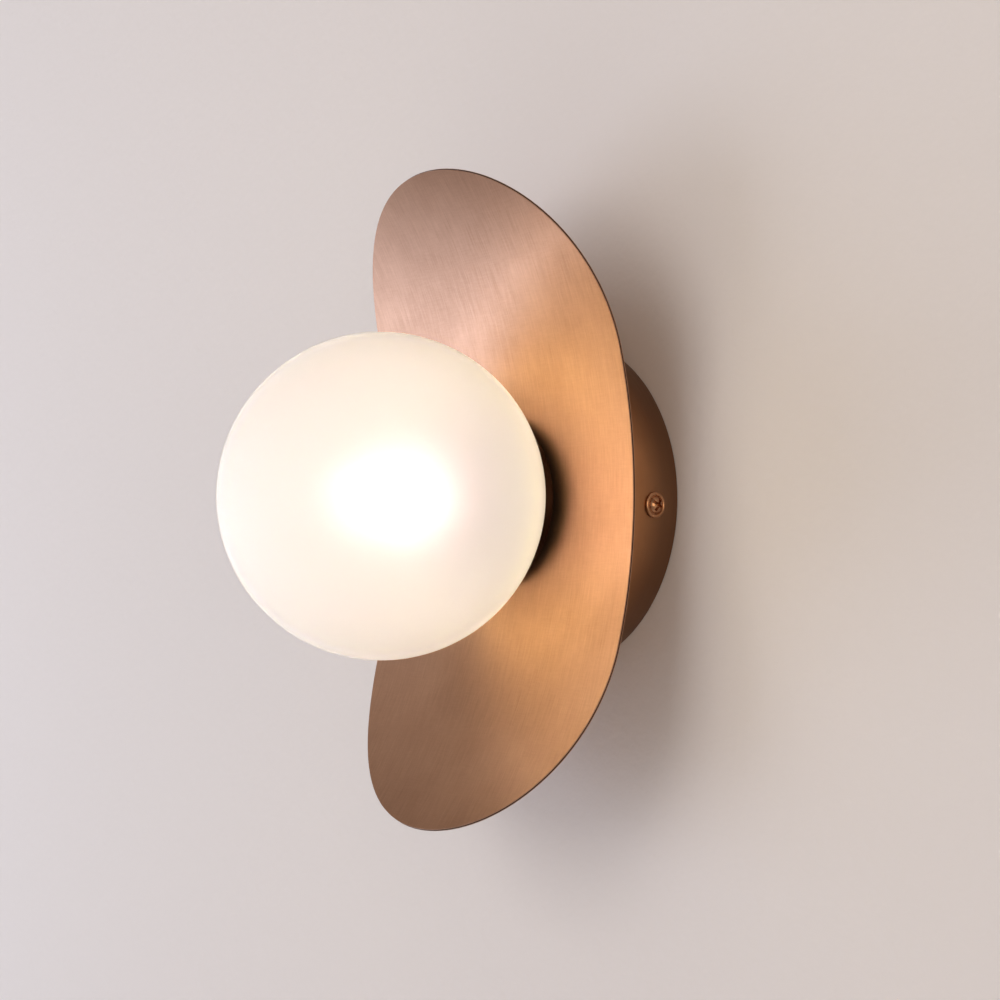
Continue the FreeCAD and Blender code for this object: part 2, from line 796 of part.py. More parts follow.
def lampholder_body():
    # Ceramic body with two ears, a recess for the bulb's tongue and two contact slots
    body = rounded_block(holder_length, holder_width, holder_height, holder_back, holder_corner_radius)
    ear_corner = holder_ear_corner_radius
    ears = rounded_block(bridge_span, bridge_foot_width, holder_ear_thickness, holder_back, ear_corner)
    recess_cut = recess_depth + overrun
    slot_cut = contact_slot_depth + overrun
    cuts = [rounded_block(recess_length, recess_width, recess_cut, recess_floor, recess_corner_radius)]
    for side in (1, -1):
        slot_x = side * pin_spacing / 2
        cuts.append(slab(contact_slot_length, contact_slot_width, slot_cut, contact_floor, slot_x))
        lead_x = side * holder_lead_spacing / 2
        lead_start = Vector(lead_x, 0, holder_back - overrun)
        cuts.append(post(lead_diameter / 2 + holder_lead_gap, lead_start, Vector(lead_x, 0, contact_floor)))
        screw_x = side * holder_screw_spacing / 2
        screw_start = Vector(screw_x, 0, holder_back - overrun)
        screw_end = Vector(screw_x, 0, holder_back + holder_ear_thickness + overrun)
        cuts.append(post(fixing_screw_diameter / 2 + hole_clearance, screw_start, screw_end))
    whole = fused([body, ears])
    rim = [edge for edge in whole.Edges if edge.BoundBox.ZMin > holder_front - same_point]
    return whole.makeChamfer(holder_edge_bevel, rim).cut(Part.makeCompound(cuts))


def lampholder_contacts():
    # Two bronze clips folded to a U, a leaf on each side of the bulb's wire loop
    inner = pin_wire / 2 + pin_grip_gap
    outer = inner + contact_strip
    front = recess_floor - contact_strip
    contacts = []
    for side in (1, -1):
        x = side * pin_spacing / 2
        base = slab(contact_width, 2 * outer, contact_strip, contact_floor, x)
        leaves = []
        for face in (1, -1):
            leaf_y = face * (inner + contact_strip / 2)
            leaves.append(slab(contact_width, contact_strip, front - contact_floor, contact_floor, x, leaf_y))
        contacts.append(fused([base] + leaves))
    return Part.makeCompound(contacts)


def lampholder_screws():
    screws = []
    for side in (1, -1):
        screw = screw_blank(
            fixing_screw_diameter, holder_screw_length, fixing_screw_head_diameter, fixing_screw_head_height)
        screw = slotted(screw, fixing_screw_head_diameter, fixing_screw_head_height)
        screw.translate(Vector(side * holder_screw_spacing / 2, 0, holder_back + holder_ear_thickness))
        screws.append(screw)
    return Part.makeCompound(screws)


def lampholder_bracket():
    # Folded steel bridge over the front nut, its feet turned out for the holder's screws
    strip = folded_strip(bridge_section(), bridge_foot_width)
    base_length = bridge_inner_span - 2 * bridge_bend_radius
    base_corner = holder_ear_corner_radius
    base = rounded_block(base_length, bridge_base_width, bridge_thickness, fitter_seat, base_corner)
    cuts = [disc(nipple_radius + hole_clearance, bridge_thickness + 2 * overrun, fitter_seat - overrun)]
    for side in (1, -1):
        x = side * holder_screw_spacing / 2
        low = Vector(x, 0, holder_back - bridge_thickness - overrun)
        cuts.append(post(fixing_screw_diameter / 2 + thread_fit, low, Vector(x, 0, holder_back + overrun)))
    return fused([strip, base]).cut(Part.makeCompound(cuts))


def bulb_base():
    # Moulded base: a flat tongue for the holder's recess and a round collar with a spigot
    tongue_length = recess_length - 2 * tongue_gap
    tongue_width = recess_width - 2 * tongue_gap
    tongue_height = (holder_front + bulb_base_front) / 2 - tongue_back
    tongue = rounded_block(tongue_length, tongue_width, tongue_height, tongue_back, recess_corner_radius)
    spigot_radius = bulb_cover_diameter / 2 - bulb_cover_wall - bulb_cover_gap
    collar = turned([
        (0, holder_front, 0),
        (bulb_diameter / 2, holder_front, 0),
        (bulb_diameter / 2, bulb_base_front - bulb_base_edge, 0),
        (bulb_diameter / 2 - bulb_base_edge, bulb_base_front, 0),
        (spigot_radius, bulb_base_front, 0),
        (spigot_radius, spigot_front, 0),
        (0, spigot_front, 0),
    ])
    return fused([collar, tongue])


def bulb_pins():
    # Each pin is a loop of stiff wire that hangs from the tongue, bent in three short steps
    half_span = (pin_loop_width - pin_wire) / 2
    bend_height = tongue_back - pin_length + pin_wire / 2 + half_span
    pins = []
    for side in (1, -1):
        x = side * pin_spacing / 2
        route = [Vector(x - half_span, 0, tongue_back)]
        for angle in (180, 240, 300, 360):
            across = half_span * math.cos(math.radians(angle))
            down = half_span * math.sin(math.radians(angle))
            route.append(Vector(x + across, 0, bend_height + down))
        route.append(Vector(x + half_span, 0, tongue_back))
        section = Part.Wire(Part.makeCircle(pin_wire / 2, route[0], Vector(0, 0, -1)))
        pins.append(Part.makePolygon(route).makePipeShell([section], True, False, 1))
    return Part.makeCompound(pins)


def bulb_board():
    return slab(board_width, board_thickness, board_length, spigot_front)


def bulb_diodes():
    # Rows of diodes on both faces of the board
    diodes = []
    row_step = diode_row_share * board_length
    column_step = diode_column_share * board_width
    for row in range(diode_rows):
        middle = spigot_front + board_length / 2 + (row - (diode_rows - 1) / 2) * row_step
        back = middle - diode_length / 2
        for column in range(diode_columns):
            x = (column - (diode_columns - 1) / 2) * column_step
            for face in (1, -1):
                y = face * (board_thickness + diode_thickness) / 2
                diodes.append(slab(diode_width, diode_thickness, diode_length, back, x, y))
    return Part.makeCompound(diodes)


def bulb_cover():
    # Clear thimble over the board, closed by a rounded end
    outer = bulb_cover_diameter / 2
    inner = outer - bulb_cover_wall
    front = bulb_base_front + bulb_cover_length
    end_rounding = outer * cover_rounding_share
    return turned([
        (outer, bulb_base_front, 0),
        (outer, front, end_rounding),
        (0, front, 0),
        (0, front - bulb_cover_wall, 0),
        (inner, front - bulb_cover_wall, end_rounding - bulb_cover_wall),
        (inner, bulb_base_front, 0),
    ])


pieces = {
    "wall_bracket": wall_bracket(),
    "terminal_block": terminal_block(),
    "terminal_clamps": terminal_clamps(),
    "terminal_screws": terminal_screws(),
    "terminal_fixing_screw": terminal_fixing_screw(),
    "earth_ring": earth_ring(),
    "earth_screw": earth_screw(),
    "earth_lead": earth_lead(),
    "live_lead": holder_lead("live_lead", 0, -1),
    "neutral_lead": holder_lead("neutral_lead", 1, 1),
    "canopy": canopy(),
    "side_screws": side_screws(),
    "hollow_nipple": hollow_nipple(),
    "nipple_bushes": nipple_bushes(),
    "rear_lock_washer": tooth_washer(rear_washer_height),
    "rear_lock_nut": lock_nut(rear_nut_height),
    "curved_plate": curved_plate(),
    "saddle_spacer": saddle_spacer(),
    "globe_fitter": globe_fitter(),
    "lampholder_bracket": lampholder_bracket(),
    "front_lock_washer": tooth_washer(bridge_front),
    "front_lock_nut": lock_nut(front_nut_height),
    "lampholder_body": lampholder_body(),
    "lampholder_contacts": lampholder_contacts(),
    "lampholder_screws": lampholder_screws(),
    "bulb_base": bulb_base(),
    "bulb_pins": bulb_pins(),
    "bulb_board": bulb_board(),
    "bulb_diodes": bulb_diodes(),
    "bulb_cover": bulb_cover(),
    "globe_seal": globe_seal(),
    "globe_collar": globe_collar(),
    "globe": globe(),
}

for name, shape in pieces.items():
    save(name, shape)
print("nodes", len(pieces))
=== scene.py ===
import bpy
import bmesh
import json
from math import asin, cos, pi, radians, sin, sqrt, tau
from mathutils import Matrix, Vector

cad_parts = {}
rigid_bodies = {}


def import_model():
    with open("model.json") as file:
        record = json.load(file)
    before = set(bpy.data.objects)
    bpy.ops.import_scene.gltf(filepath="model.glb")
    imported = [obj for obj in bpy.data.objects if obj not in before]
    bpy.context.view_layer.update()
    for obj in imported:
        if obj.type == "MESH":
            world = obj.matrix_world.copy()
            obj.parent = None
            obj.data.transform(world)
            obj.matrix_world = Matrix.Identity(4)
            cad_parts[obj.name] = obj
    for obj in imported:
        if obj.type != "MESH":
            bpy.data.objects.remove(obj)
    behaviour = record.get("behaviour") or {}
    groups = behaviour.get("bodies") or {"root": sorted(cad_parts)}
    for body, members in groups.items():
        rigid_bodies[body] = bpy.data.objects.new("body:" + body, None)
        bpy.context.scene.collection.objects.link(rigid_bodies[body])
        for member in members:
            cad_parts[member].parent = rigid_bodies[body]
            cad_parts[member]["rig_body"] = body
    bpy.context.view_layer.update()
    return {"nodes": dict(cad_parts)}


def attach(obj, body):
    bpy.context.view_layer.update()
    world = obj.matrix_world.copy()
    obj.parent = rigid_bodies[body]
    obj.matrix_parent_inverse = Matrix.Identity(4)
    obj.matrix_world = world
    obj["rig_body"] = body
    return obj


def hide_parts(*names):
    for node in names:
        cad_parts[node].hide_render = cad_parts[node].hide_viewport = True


# A wall lamp: opal globe, bent copper plate, round canopy. Y runs into the wall, and a depth
# is the distance out from the wall, so a point at depth d has y = -d. Lengths are in metres.
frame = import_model()
nodes = frame["nodes"]
print("frame loaded")


# Helpers for modelling

seedSize = 0.001
mergeGap = 2e-6
ringGap = 1e-5
mirrorGap = 1e-5
edgeBreaking = {"segments": 2, "sharpAngle": 50}


def pick(piece):
    bpy.ops.object.select_all(action="DESELECT")
    piece.select_set(True)
    bpy.context.view_layer.objects.active = piece


def edit(piece):
    pick(piece)
    bpy.ops.object.mode_set(mode="EDIT")
    bpy.ops.mesh.select_all(action="DESELECT")


def leaveEdit():
    bpy.ops.object.mode_set(mode="OBJECT")


def startPoint(name, place):
    # one loose corner to draw an outline from, left in edit mode
    bpy.ops.object.select_all(action="DESELECT")
    bpy.ops.mesh.primitive_plane_add(size=seedSize, location=(0, 0, 0))
    piece = bpy.context.object
    piece.name = name
    bpy.ops.object.mode_set(mode="EDIT")
    bpy.ops.mesh.select_mode(type="VERT")
    bpy.ops.mesh.select_all(action="SELECT")
    bpy.ops.mesh.merge(type="CENTER")
    bpy.ops.transform.translate(value=place)
    return piece


def drawTo(step):
    bpy.ops.mesh.extrude_vertices_move(TRANSFORM_OT_translate={"value": step})


def drawStops(stops):
    for (r0, d0), (r1, d1) in zip(stops, stops[1:]):
        drawTo((r1 - r0, d0 - d1, 0))


def mergeAndFaceOut():
    bpy.ops.mesh.select_all(action="SELECT")
    bpy.ops.mesh.remove_doubles(threshold=mergeGap)
    bpy.ops.mesh.normals_make_consistent(inside=False)


def spinRound(steps):
    # the drawn outline goes once round the lamp's axis
    bpy.ops.mesh.select_all(action="SELECT")
    bpy.ops.mesh.spin(steps=steps, angle=tau, center=(0, 0, 0), axis=(0, 1, 0))
    mergeAndFaceOut()


def turned(name, stops, steps):
    # a turned piece from its (radius, depth) stops
    piece = startPoint(name, (stops[0][0], -stops[0][1], 0))
    drawStops(stops)
    spinRound(steps)
    leaveEdit()
    return piece


def bevelRing(piece, radius, depth, width, segments):
    # rounds the one round edge at this radius and depth
    edit(piece)
    bpy.ops.mesh.select_mode(type="EDGE")
    mesh = bmesh.from_edit_mesh(piece.data)
    for edge in mesh.edges:
        edge.select = all(
            abs(sqrt(corner.co.x ** 2 + corner.co.z ** 2) - radius) < ringGap
            and abs(corner.co.y + depth) < ringGap
            for corner in edge.verts)
    mesh.select_flush_mode()
    bmesh.update_edit_mesh(piece.data)
    bpy.ops.mesh.bevel(offset=width, segments=segments, profile=0.5, affect="EDGES")
    leaveEdit()


def applyModifier(piece, kind, **values):
    pick(piece)
    modifier = piece.modifiers.new(kind.title(), kind)
    for key, value in values.items():
        setattr(modifier, key, value)
    bpy.ops.object.modifier_apply(modifier=modifier.name)


def breakEdges(piece, width):
    applyModifier(piece, "BEVEL", width=width, segments=edgeBreaking["segments"],
                  limit_method="ANGLE", angle_limit=radians(edgeBreaking["sharpAngle"]))


def cutAway(piece, tool):
    applyModifier(piece, "BOOLEAN", operation="DIFFERENCE", solver="EXACT", object=tool)
    bpy.data.objects.remove(tool)


def drill(piece, sides, radius, length, place, turn):
    bpy.ops.object.select_all(action="DESELECT")
    bpy.ops.mesh.primitive_cylinder_add(vertices=sides, radius=radius, depth=length,
                                        location=place, rotation=turn)
    cutAway(piece, bpy.context.object)


def smooth(piece, angle):
    pick(piece)
    bpy.ops.object.shade_smooth_by_angle(angle=radians(angle))


def placeMesh(piece, turn, place):
    # turns and moves the mesh and leaves the object at the origin
    pick(piece)
    piece.rotation_euler = turn
    piece.location = place
    bpy.ops.object.transform_apply(location=True, rotation=True, scale=True)


def joined(pieces):
    bpy.ops.object.select_all(action="DESELECT")
    for piece in pieces:
        piece.select_set(True)
    bpy.context.view_layer.objects.active = pieces[0]
    bpy.ops.object.join()
    return pieces[0]


def fit(piece, material, node):
    # the piece takes over from its CAD node
    piece.data.materials.clear()
    piece.data.materials.append(material)
    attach(piece, nodes[node]["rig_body"])
    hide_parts(node)
    print("made", piece.name, "for", node, "with", len(piece.data.polygons), "faces")


def threadRib(name, rib):
    # a trapezoid pushed round the axis and outwards in small steps, right-handed
    outward = 1 if rib["tip"] > rib["foot"] else -1
    foot = rib["foot"] - outward * rib["bite"]
    height = rib["tip"] - foot
    slope = (rib["footWidth"] - rib["tipWidth"]) / 2
    piece = startPoint(name, (rib["side"] * foot, rib["footWidth"] / 2 - rib["start"], 0))
    drawTo((rib["side"] * height, -slope, 0))
    drawTo((0, -rib["tipWidth"], 0))
    drawTo((-rib["side"] * height, -slope, 0))
    bpy.ops.mesh.select_all(action="SELECT")
    bpy.ops.mesh.edge_face_add()
    steps = rib["stepsPerTurn"]
    for step in range(round(rib["turns"] * steps)):
        rise = (0, -rib["pitch"] / steps, 0)
        bpy.ops.mesh.extrude_region_move(TRANSFORM_OT_translate={"value": rise})
        bpy.ops.transform.rotate(value=tau / steps, orient_axis="Y", center_override=(0, 0, 0))
    bpy.ops.mesh.select_all(action="SELECT")
    bpy.ops.mesh.normals_make_consistent(inside=False)
    leaveEdit()
    return piece


# Helpers for materials

def link(tree, source, output, target, socket):
    tree.links.new(source.outputs[output], target.inputs[socket])


def addNode(tree, kind, **values):
    node = tree.nodes.new(kind)
    for key, value in values.items():
        if key in node.inputs:
            node.inputs[key].default_value = value
        else:
            setattr(node, key, value)
    return node


def mathNode(tree, operation, first, second=None):
    # each operand is a number or a (node, output) pair
    node = tree.nodes.new("ShaderNodeMath")
    node.operation = operation
    for index, operand in enumerate((first, second)):
        if isinstance(operand, tuple):
            tree.links.new(operand[0].outputs[operand[1]], node.inputs[index])
        elif operand is not None:
            node.inputs[index].default_value = operand
    return node


def newGroup(name, inputs, outputs):
    group = bpy.data.node_groups.new(name, "ShaderNodeTree")
    for label, kind, value in inputs:
        socket = group.interface.new_socket(
            name=label, in_out="INPUT", socket_type="NodeSocket" + kind)
        if value is not None:
            socket.default_value = value
    for label, kind in outputs:
        group.interface.new_socket(
            name=label, in_out="OUTPUT", socket_type="NodeSocket" + kind)
    start = group.nodes.new("NodeGroupInput")
    end = group.nodes.new("NodeGroupOutput")
    return group, start, end


def useGroup(tree, group, **values):
    node = tree.nodes.new("ShaderNodeGroup")
    node.node_tree = group
    for key, value in values.items():
        node.inputs[key].default_value = value
    return node


def newMaterial(name, **values):
    material = bpy.data.materials.new(name)
    material.use_nodes = True
    tree = material.node_tree
    shader = tree.nodes["Principled BSDF"]
    for key, value in values.items():
        shader.inputs[key].default_value = value
    place = tree.nodes.new("ShaderNodeTexCoord")
    return material, tree, shader, place


def colourIn(mix, name):
    return [socket for socket in mix.inputs if socket.name == name and socket.type == "RGBA"][0]


def colourOut(mix):
    return [socket for socket in mix.outputs if socket.type == "RGBA"][0]


def mixColours(tree, mask, output, first, second):
    mix = tree.nodes.new("ShaderNodeMix")
    mix.data_type = "RGBA"
    colourIn(mix, "A").default_value = (*first, 1)
    colourIn(mix, "B").default_value = (*second, 1)
    link(tree, mask, output, mix, "Factor")
    return mix


def spreadTo(tree, source, output, low, high):
    # a mask from 0 to 1 becomes a value from low to high
    spread = tree.nodes.new("ShaderNodeMapRange")
    spread.inputs["To Min"].default_value = low
    spread.inputs["To Max"].default_value = high
    link(tree, source, output, spread, "Value")
    return spread


def maskOver(tree, source, output, start, end):
    # a value from start to end becomes a mask from 0 to 1
    mask = tree.nodes.new("ShaderNodeMapRange")
    mask.inputs["From Min"].default_value = start
    mask.inputs["From Max"].default_value = end
    link(tree, source, output, mask, "Value")
    return mask


def bumpFrom(tree, height, output, look, shader):
    bump = tree.nodes.new("ShaderNodeBump")
    bump.inputs["Strength"].default_value = look["bump"]
    bump.inputs["Distance"].default_value = look["bumpDepth"]
    link(tree, height, output, bump, "Height")
    link(tree, bump, "Normal", shader, "Normal")


# Patterns that several materials share

grainPattern = {
    "fine": {"Scale": 1.0, "Detail": 5.0, "Roughness": 0.62},
    "coarse": {"Scale": 0.23, "Detail": 3.0, "Roughness": 0.5},
    "coarseShare": 0.2,
    "maskRange": (0.35, 0.85),
}
cloudPattern = {"Detail": 4.0, "Roughness": 0.55}
specklePattern = {"Detail": 2.0, "Roughness": 0.5}


def brushedGrainGroup():
    # fine scratches drawn out along one direction, as a height and as a mask
    group, start, end = newGroup(
        "brushedGrain",
        [("Vector", "Vector", None), ("Scale", "Vector", (1, 1, 1)), ("Amount", "Float", 1.0)],
        [("Height", "Float"), ("Mask", "Float")])
    mapping = group.nodes.new("ShaderNodeMapping")
    link(group, start, "Vector", mapping, "Vector")
    link(group, start, "Scale", mapping, "Scale")
    fine = addNode(group, "ShaderNodeTexNoise", **grainPattern["fine"])
    coarse = addNode(group, "ShaderNodeTexNoise", **grainPattern["coarse"])
    for noise in (fine, coarse):
        link(group, mapping, "Vector", noise, "Vector")
    both = mathNode(group, "MULTIPLY_ADD", (coarse, "Fac"), grainPattern["coarseShare"])
    link(group, fine, "Fac", both, 2)
    height = mathNode(group, "MULTIPLY", (both, 0))
    link(group, start, "Amount", height, 1)
    link(group, height, 0, end, "Height")
    mask = maskOver(group, both, 0, *grainPattern["maskRange"])
    link(group, mask, "Result", end, "Mask")
    return group


def cloudGroup():
    # slow uneven patches, such as patina or a film of dust
    group, start, end = newGroup(
        "cloudPatches",
        [("Vector", "Vector", None), ("Size", "Float", 0.03),
         ("Low", "Float", 0.35), ("High", "Float", 0.65)],
        [("Mask", "Float")])
    scale = mathNode(group, "DIVIDE", 1.0)
    link(group, start, "Size", scale, 1)
    noise = addNode(group, "ShaderNodeTexNoise", **cloudPattern)
    link(group, start, "Vector", noise, "Vector")
    link(group, scale, 0, noise, "Scale")
    spread = addNode(group, "ShaderNodeMapRange", interpolation_type="SMOOTHSTEP")
    link(group, noise, "Fac", spread, "Value")
    link(group, start, "Low", spread, "From Min")
    link(group, start, "High", spread, "From Max")
    link(group, spread, "Result", end, "Mask")
    return group


def speckleGroup():
    # fine even roughness of moulded, glazed or plated surfaces
    group, start, end = newGroup(
        "speckle",
        [("Vector", "Vector", None), ("Scale", "Float", 3000.0), ("Amount", "Float", 1.0)],
        [("Height", "Float")])
    noise = addNode(group, "ShaderNodeTexNoise", **specklePattern)
    link(group, start, "Vector", noise, "Vector")
    link(group, start, "Scale", noise, "Scale")
    height = mathNode(group, "MULTIPLY", (noise, "Fac"))
    link(group, start, "Amount", height, 1)
    link(group, height, 0, end, "Height")
    return group


brushedGrain = brushedGrainGroup()
cloudPatches = cloudGroup()
speckle = speckleGroup()


def patchColours(tree, shader, place, look):
    # two close colours in soft patches
    patches = useGroup(tree, cloudPatches, Size=look["patchSize"])
    link(tree, place, "Object", patches, "Vector")
    mix = mixColours(tree, patches, "Mask", look["colour"], look["second"])
    tree.links.new(colourOut(mix), shader.inputs["Base Color"])
    return patches


def speckleBump(tree, shader, place, look):
    grain = useGroup(tree, speckle, Scale=look["speckleScale"])
    link(tree, place, "Object", grain, "Vector")
    bumpFrom(tree, grain, "Height", look, shader)


def stockSurface(tree, shader, place, look):
    # plated, moulded or glazed stock: patches of colour and gloss and a fine speckle
    patches = patchColours(tree, shader, place, look)
    rough = spreadTo(tree, patches, "Mask", *look["rough"])
    link(tree, rough, "Result", shader, "Roughness")
    speckleBump(tree, shader, place, look)


def plainMaterial(name, look):
    material, tree, shader, place = newMaterial(name, **look["shader"])
    stockSurface(tree, shader, place, look)
    return material


# Finishes of the stock parts

plated = {"bumpDepth": 0.0001, "shader": {"Metallic": 1.0}}
moulded = {"bumpDepth": 0.0001, "shader": {"Metallic": 0.0}}
stockLooks = {
    "zincSteel": {
        **plated,
        "colour": (0.52, 0.52, 0.50), "second": (0.44, 0.45, 0.45), "rough": (0.32, 0.46),
        "patchSize": 0.012, "speckleScale": 2600.0, "bump": 0.25,
    },
    "blockPlastic": {
        **moulded,
        "colour": (0.72, 0.70, 0.64), "second": (0.66, 0.64, 0.57), "rough": (0.42, 0.55),
        "patchSize": 0.02, "speckleScale": 1800.0, "bump": 0.2,
    },
    "clampBrass": {
        **plated,
        "colour": (0.62, 0.42, 0.14), "second": (0.52, 0.33, 0.10), "rough": (0.25, 0.40),
        "patchSize": 0.006, "speckleScale": 2400.0, "bump": 0.2,
    },
    "earthInsulation": {
        **moulded,
        "colour": (0.16, 0.38, 0.05), "second": (0.13, 0.32, 0.04), "rough": (0.45, 0.6),
        "patchSize": 0.01, "speckleScale": 1500.0, "bump": 0.15,
    },
    "liveInsulation": {
        **moulded,
        "colour": (0.075, 0.026, 0.010), "second": (0.055, 0.020, 0.008), "rough": (0.42, 0.58),
        "patchSize": 0.01, "speckleScale": 1500.0, "bump": 0.15,
    },
    "neutralInsulation": {
        **moulded,
        "colour": (0.015, 0.050, 0.26), "second": (0.012, 0.040, 0.20), "rough": (0.42, 0.58),
        "patchSize": 0.01, "speckleScale": 1500.0, "bump": 0.15,
    },
    "bushPlastic": {
        **moulded,
        "colour": (0.60, 0.59, 0.55), "second": (0.54, 0.53, 0.49), "rough": (0.4, 0.5),
        "patchSize": 0.008, "speckleScale": 1800.0, "bump": 0.15,
    },
    "glazedCeramic": {
        **moulded,
        "colour": (0.80, 0.76, 0.68), "second": (0.76, 0.71, 0.62), "rough": (0.12, 0.22),
        "patchSize": 0.009, "speckleScale": 700.0, "bump": 0.15, "bumpDepth": 0.0002,
    },
    "contactBronze": {
        **plated,
        "colour": (0.60, 0.38, 0.16), "second": (0.50, 0.30, 0.12), "rough": (0.25, 0.4),
        "patchSize": 0.004, "speckleScale": 2400.0, "bump": 0.2,
    },
    "bulbPlastic": {
        **moulded,
        "colour": (0.80, 0.80, 0.78), "second": (0.76, 0.76, 0.73), "rough": (0.35, 0.45),
        "patchSize": 0.012, "speckleScale": 2000.0, "bump": 0.15,
    },
    "pinWire": {
        **plated,
        "colour": (0.62, 0.61, 0.60), "second": (0.55, 0.54, 0.53), "rough": (0.2, 0.3),
        "patchSize": 0.003, "speckleScale": 3000.0, "bump": 0.15,
    },
    "whiteBoard": {
        **moulded,
        "colour": (0.78, 0.79, 0.78), "second": (0.72, 0.74, 0.73), "rough": (0.25, 0.35),
        "patchSize": 0.004, "speckleScale": 2500.0, "bump": 0.1,
    },
    "collarPlastic": {
        **moulded,
        "colour": (0.80, 0.79, 0.75), "second": (0.75, 0.74, 0.70), "rough": (0.35, 0.45),
        "patchSize": 0.01, "speckleScale": 1800.0, "bump": 0.15,
    },
    "sealSilicone": {
        **moulded,
        "colour": (0.62, 0.60, 0.55), "second": (0.57, 0.55, 0.50), "rough": (0.6, 0.72),
        "patchSize": 0.01, "speckleScale": 1600.0, "bump": 0.2,
    },
}
stock = {name: plainMaterial(name, look) for name, look in stockLooks.items()}
print("stock finishes ready", len(stock))


# Brushed copper of the plate, with painted shade on the cut edge of the sheet

copperLook = {
    "light": (0.553, 0.317, 0.205),
    "dark": (0.369, 0.197, 0.121),
    "edgeShade": (0.035, 0.021, 0.016),
    "patch": 0.055,
    "grain": (2200.0, 120.0, 120.0),
    "crossGrain": (260.0, 2400.0, 2400.0),
    "crossShare": 0.5,
    "grainTone": 0.48,
    "patchTone": 0.45,
    "rough": (0.29, 0.39),
    "edgeRough": 0.55,
    "bump": 0.075,
    "bumpDepth": 0.0001,
    "shader": {"Metallic": 1.0, "Anisotropic": 0.65, "Anisotropic Rotation": 0.25},
    "bendAxis": (0.0, 0.191, 0.0),
    "edgeBand": (0.16725, 0.16745, 0.1677, 0.1679),
}


def bandMask(tree, place, look):
    # 1 inside the sheet's thickness and 0 on its two faces, by the distance from the bend's axis
    across = addNode(tree, "ShaderNodeVectorMath", operation="MULTIPLY_ADD")
    across.inputs[1].default_value = (0.0, 1.0, 1.0)
    across.inputs[2].default_value = look["bendAxis"]
    link(tree, place, "Object", across, 0)
    away = addNode(tree, "ShaderNodeVectorMath", operation="LENGTH")
    link(tree, across, 0, away, 0)
    low, lowFull, highFull, high = look["edgeBand"]
    rising = maskOver(tree, away, "Value", low, lowFull)
    falling = maskOver(tree, away, "Value", high, highFull)
    return mathNode(tree, "MULTIPLY", (rising, "Result"), (falling, "Result"))


def brushedCopper():
    look = copperLook
    material, tree, shader, place = newMaterial("brushedCopper", **look["shader"])
    along = useGroup(tree, brushedGrain, Scale=look["grain"])
    across = useGroup(tree, brushedGrain, Scale=look["crossGrain"], Amount=look["crossShare"])
    patches = useGroup(tree, cloudPatches, Size=look["patch"])
    for group in (along, across, patches):
        link(tree, place, "Object", group, "Vector")
    both = mathNode(tree, "MULTIPLY_ADD", (across, "Mask"), look["crossShare"])
    link(tree, along, "Mask", both, 2)
    soft = mathNode(tree, "MULTIPLY", (patches, "Mask"), look["patchTone"])
    tone = mathNode(tree, "MULTIPLY_ADD", (both, 0), look["grainTone"])
    link(tree, soft, 0, tone, 2)
    face = mixColours(tree, tone, 0, look["dark"], look["light"])
    edge = bandMask(tree, place, look)
    # painted shade: the sheet's cut edge is coloured near black
    mix = mixColours(tree, edge, 0, look["dark"], look["edgeShade"])
    tree.links.new(colourOut(face), colourIn(mix, "A"))
    tree.links.new(colourOut(mix), shader.inputs["Base Color"])
    glossy, matt = look["rough"]
    rough = spreadTo(tree, along, "Mask", matt, glossy)
    dull = mathNode(tree, "MULTIPLY_ADD", (edge, 0), look["edgeRough"] - matt)
    link(tree, rough, "Result", dull, 2)
    link(tree, dull, 0, shader, "Roughness")
    height = mathNode(tree, "ADD", (along, "Height"), (across, "Height"))
    bumpFrom(tree, height, 0, look, shader)
    tangent = addNode(tree, "ShaderNodeTangent", direction_type="RADIAL", axis="X")
    link(tree, tangent, "Tangent", shader, "Tangent")
    return material


copper = brushedCopper()


# Dark bronze of the canopy, with painted shade that darkens it towards the wall
# The fitter and the spacer have a deeper one, painted shade for the dark gap between globe and
# plate

bronzeLook = {
    "light": (0.55, 0.255, 0.110),
    "dark": (0.44, 0.200, 0.085),
    "wallSideShade": (0.25, 0.130, 0.068),
    "wallSideShadeRange": (-0.0215, -0.0060),
    "patch": 0.03,
    "rings": (2600.0, 2.5, 2600.0),
    "rough": (0.34, 0.44),
    "bump": 0.15,
    "bumpDepth": 0.0001,
}
# painted shade: a near-black copy of the bronze, for parts that sit in the gap's shadow
fitterShadeLook = {**bronzeLook, "light": (0.060, 0.034, 0.022), "dark": (0.040, 0.022, 0.015)}


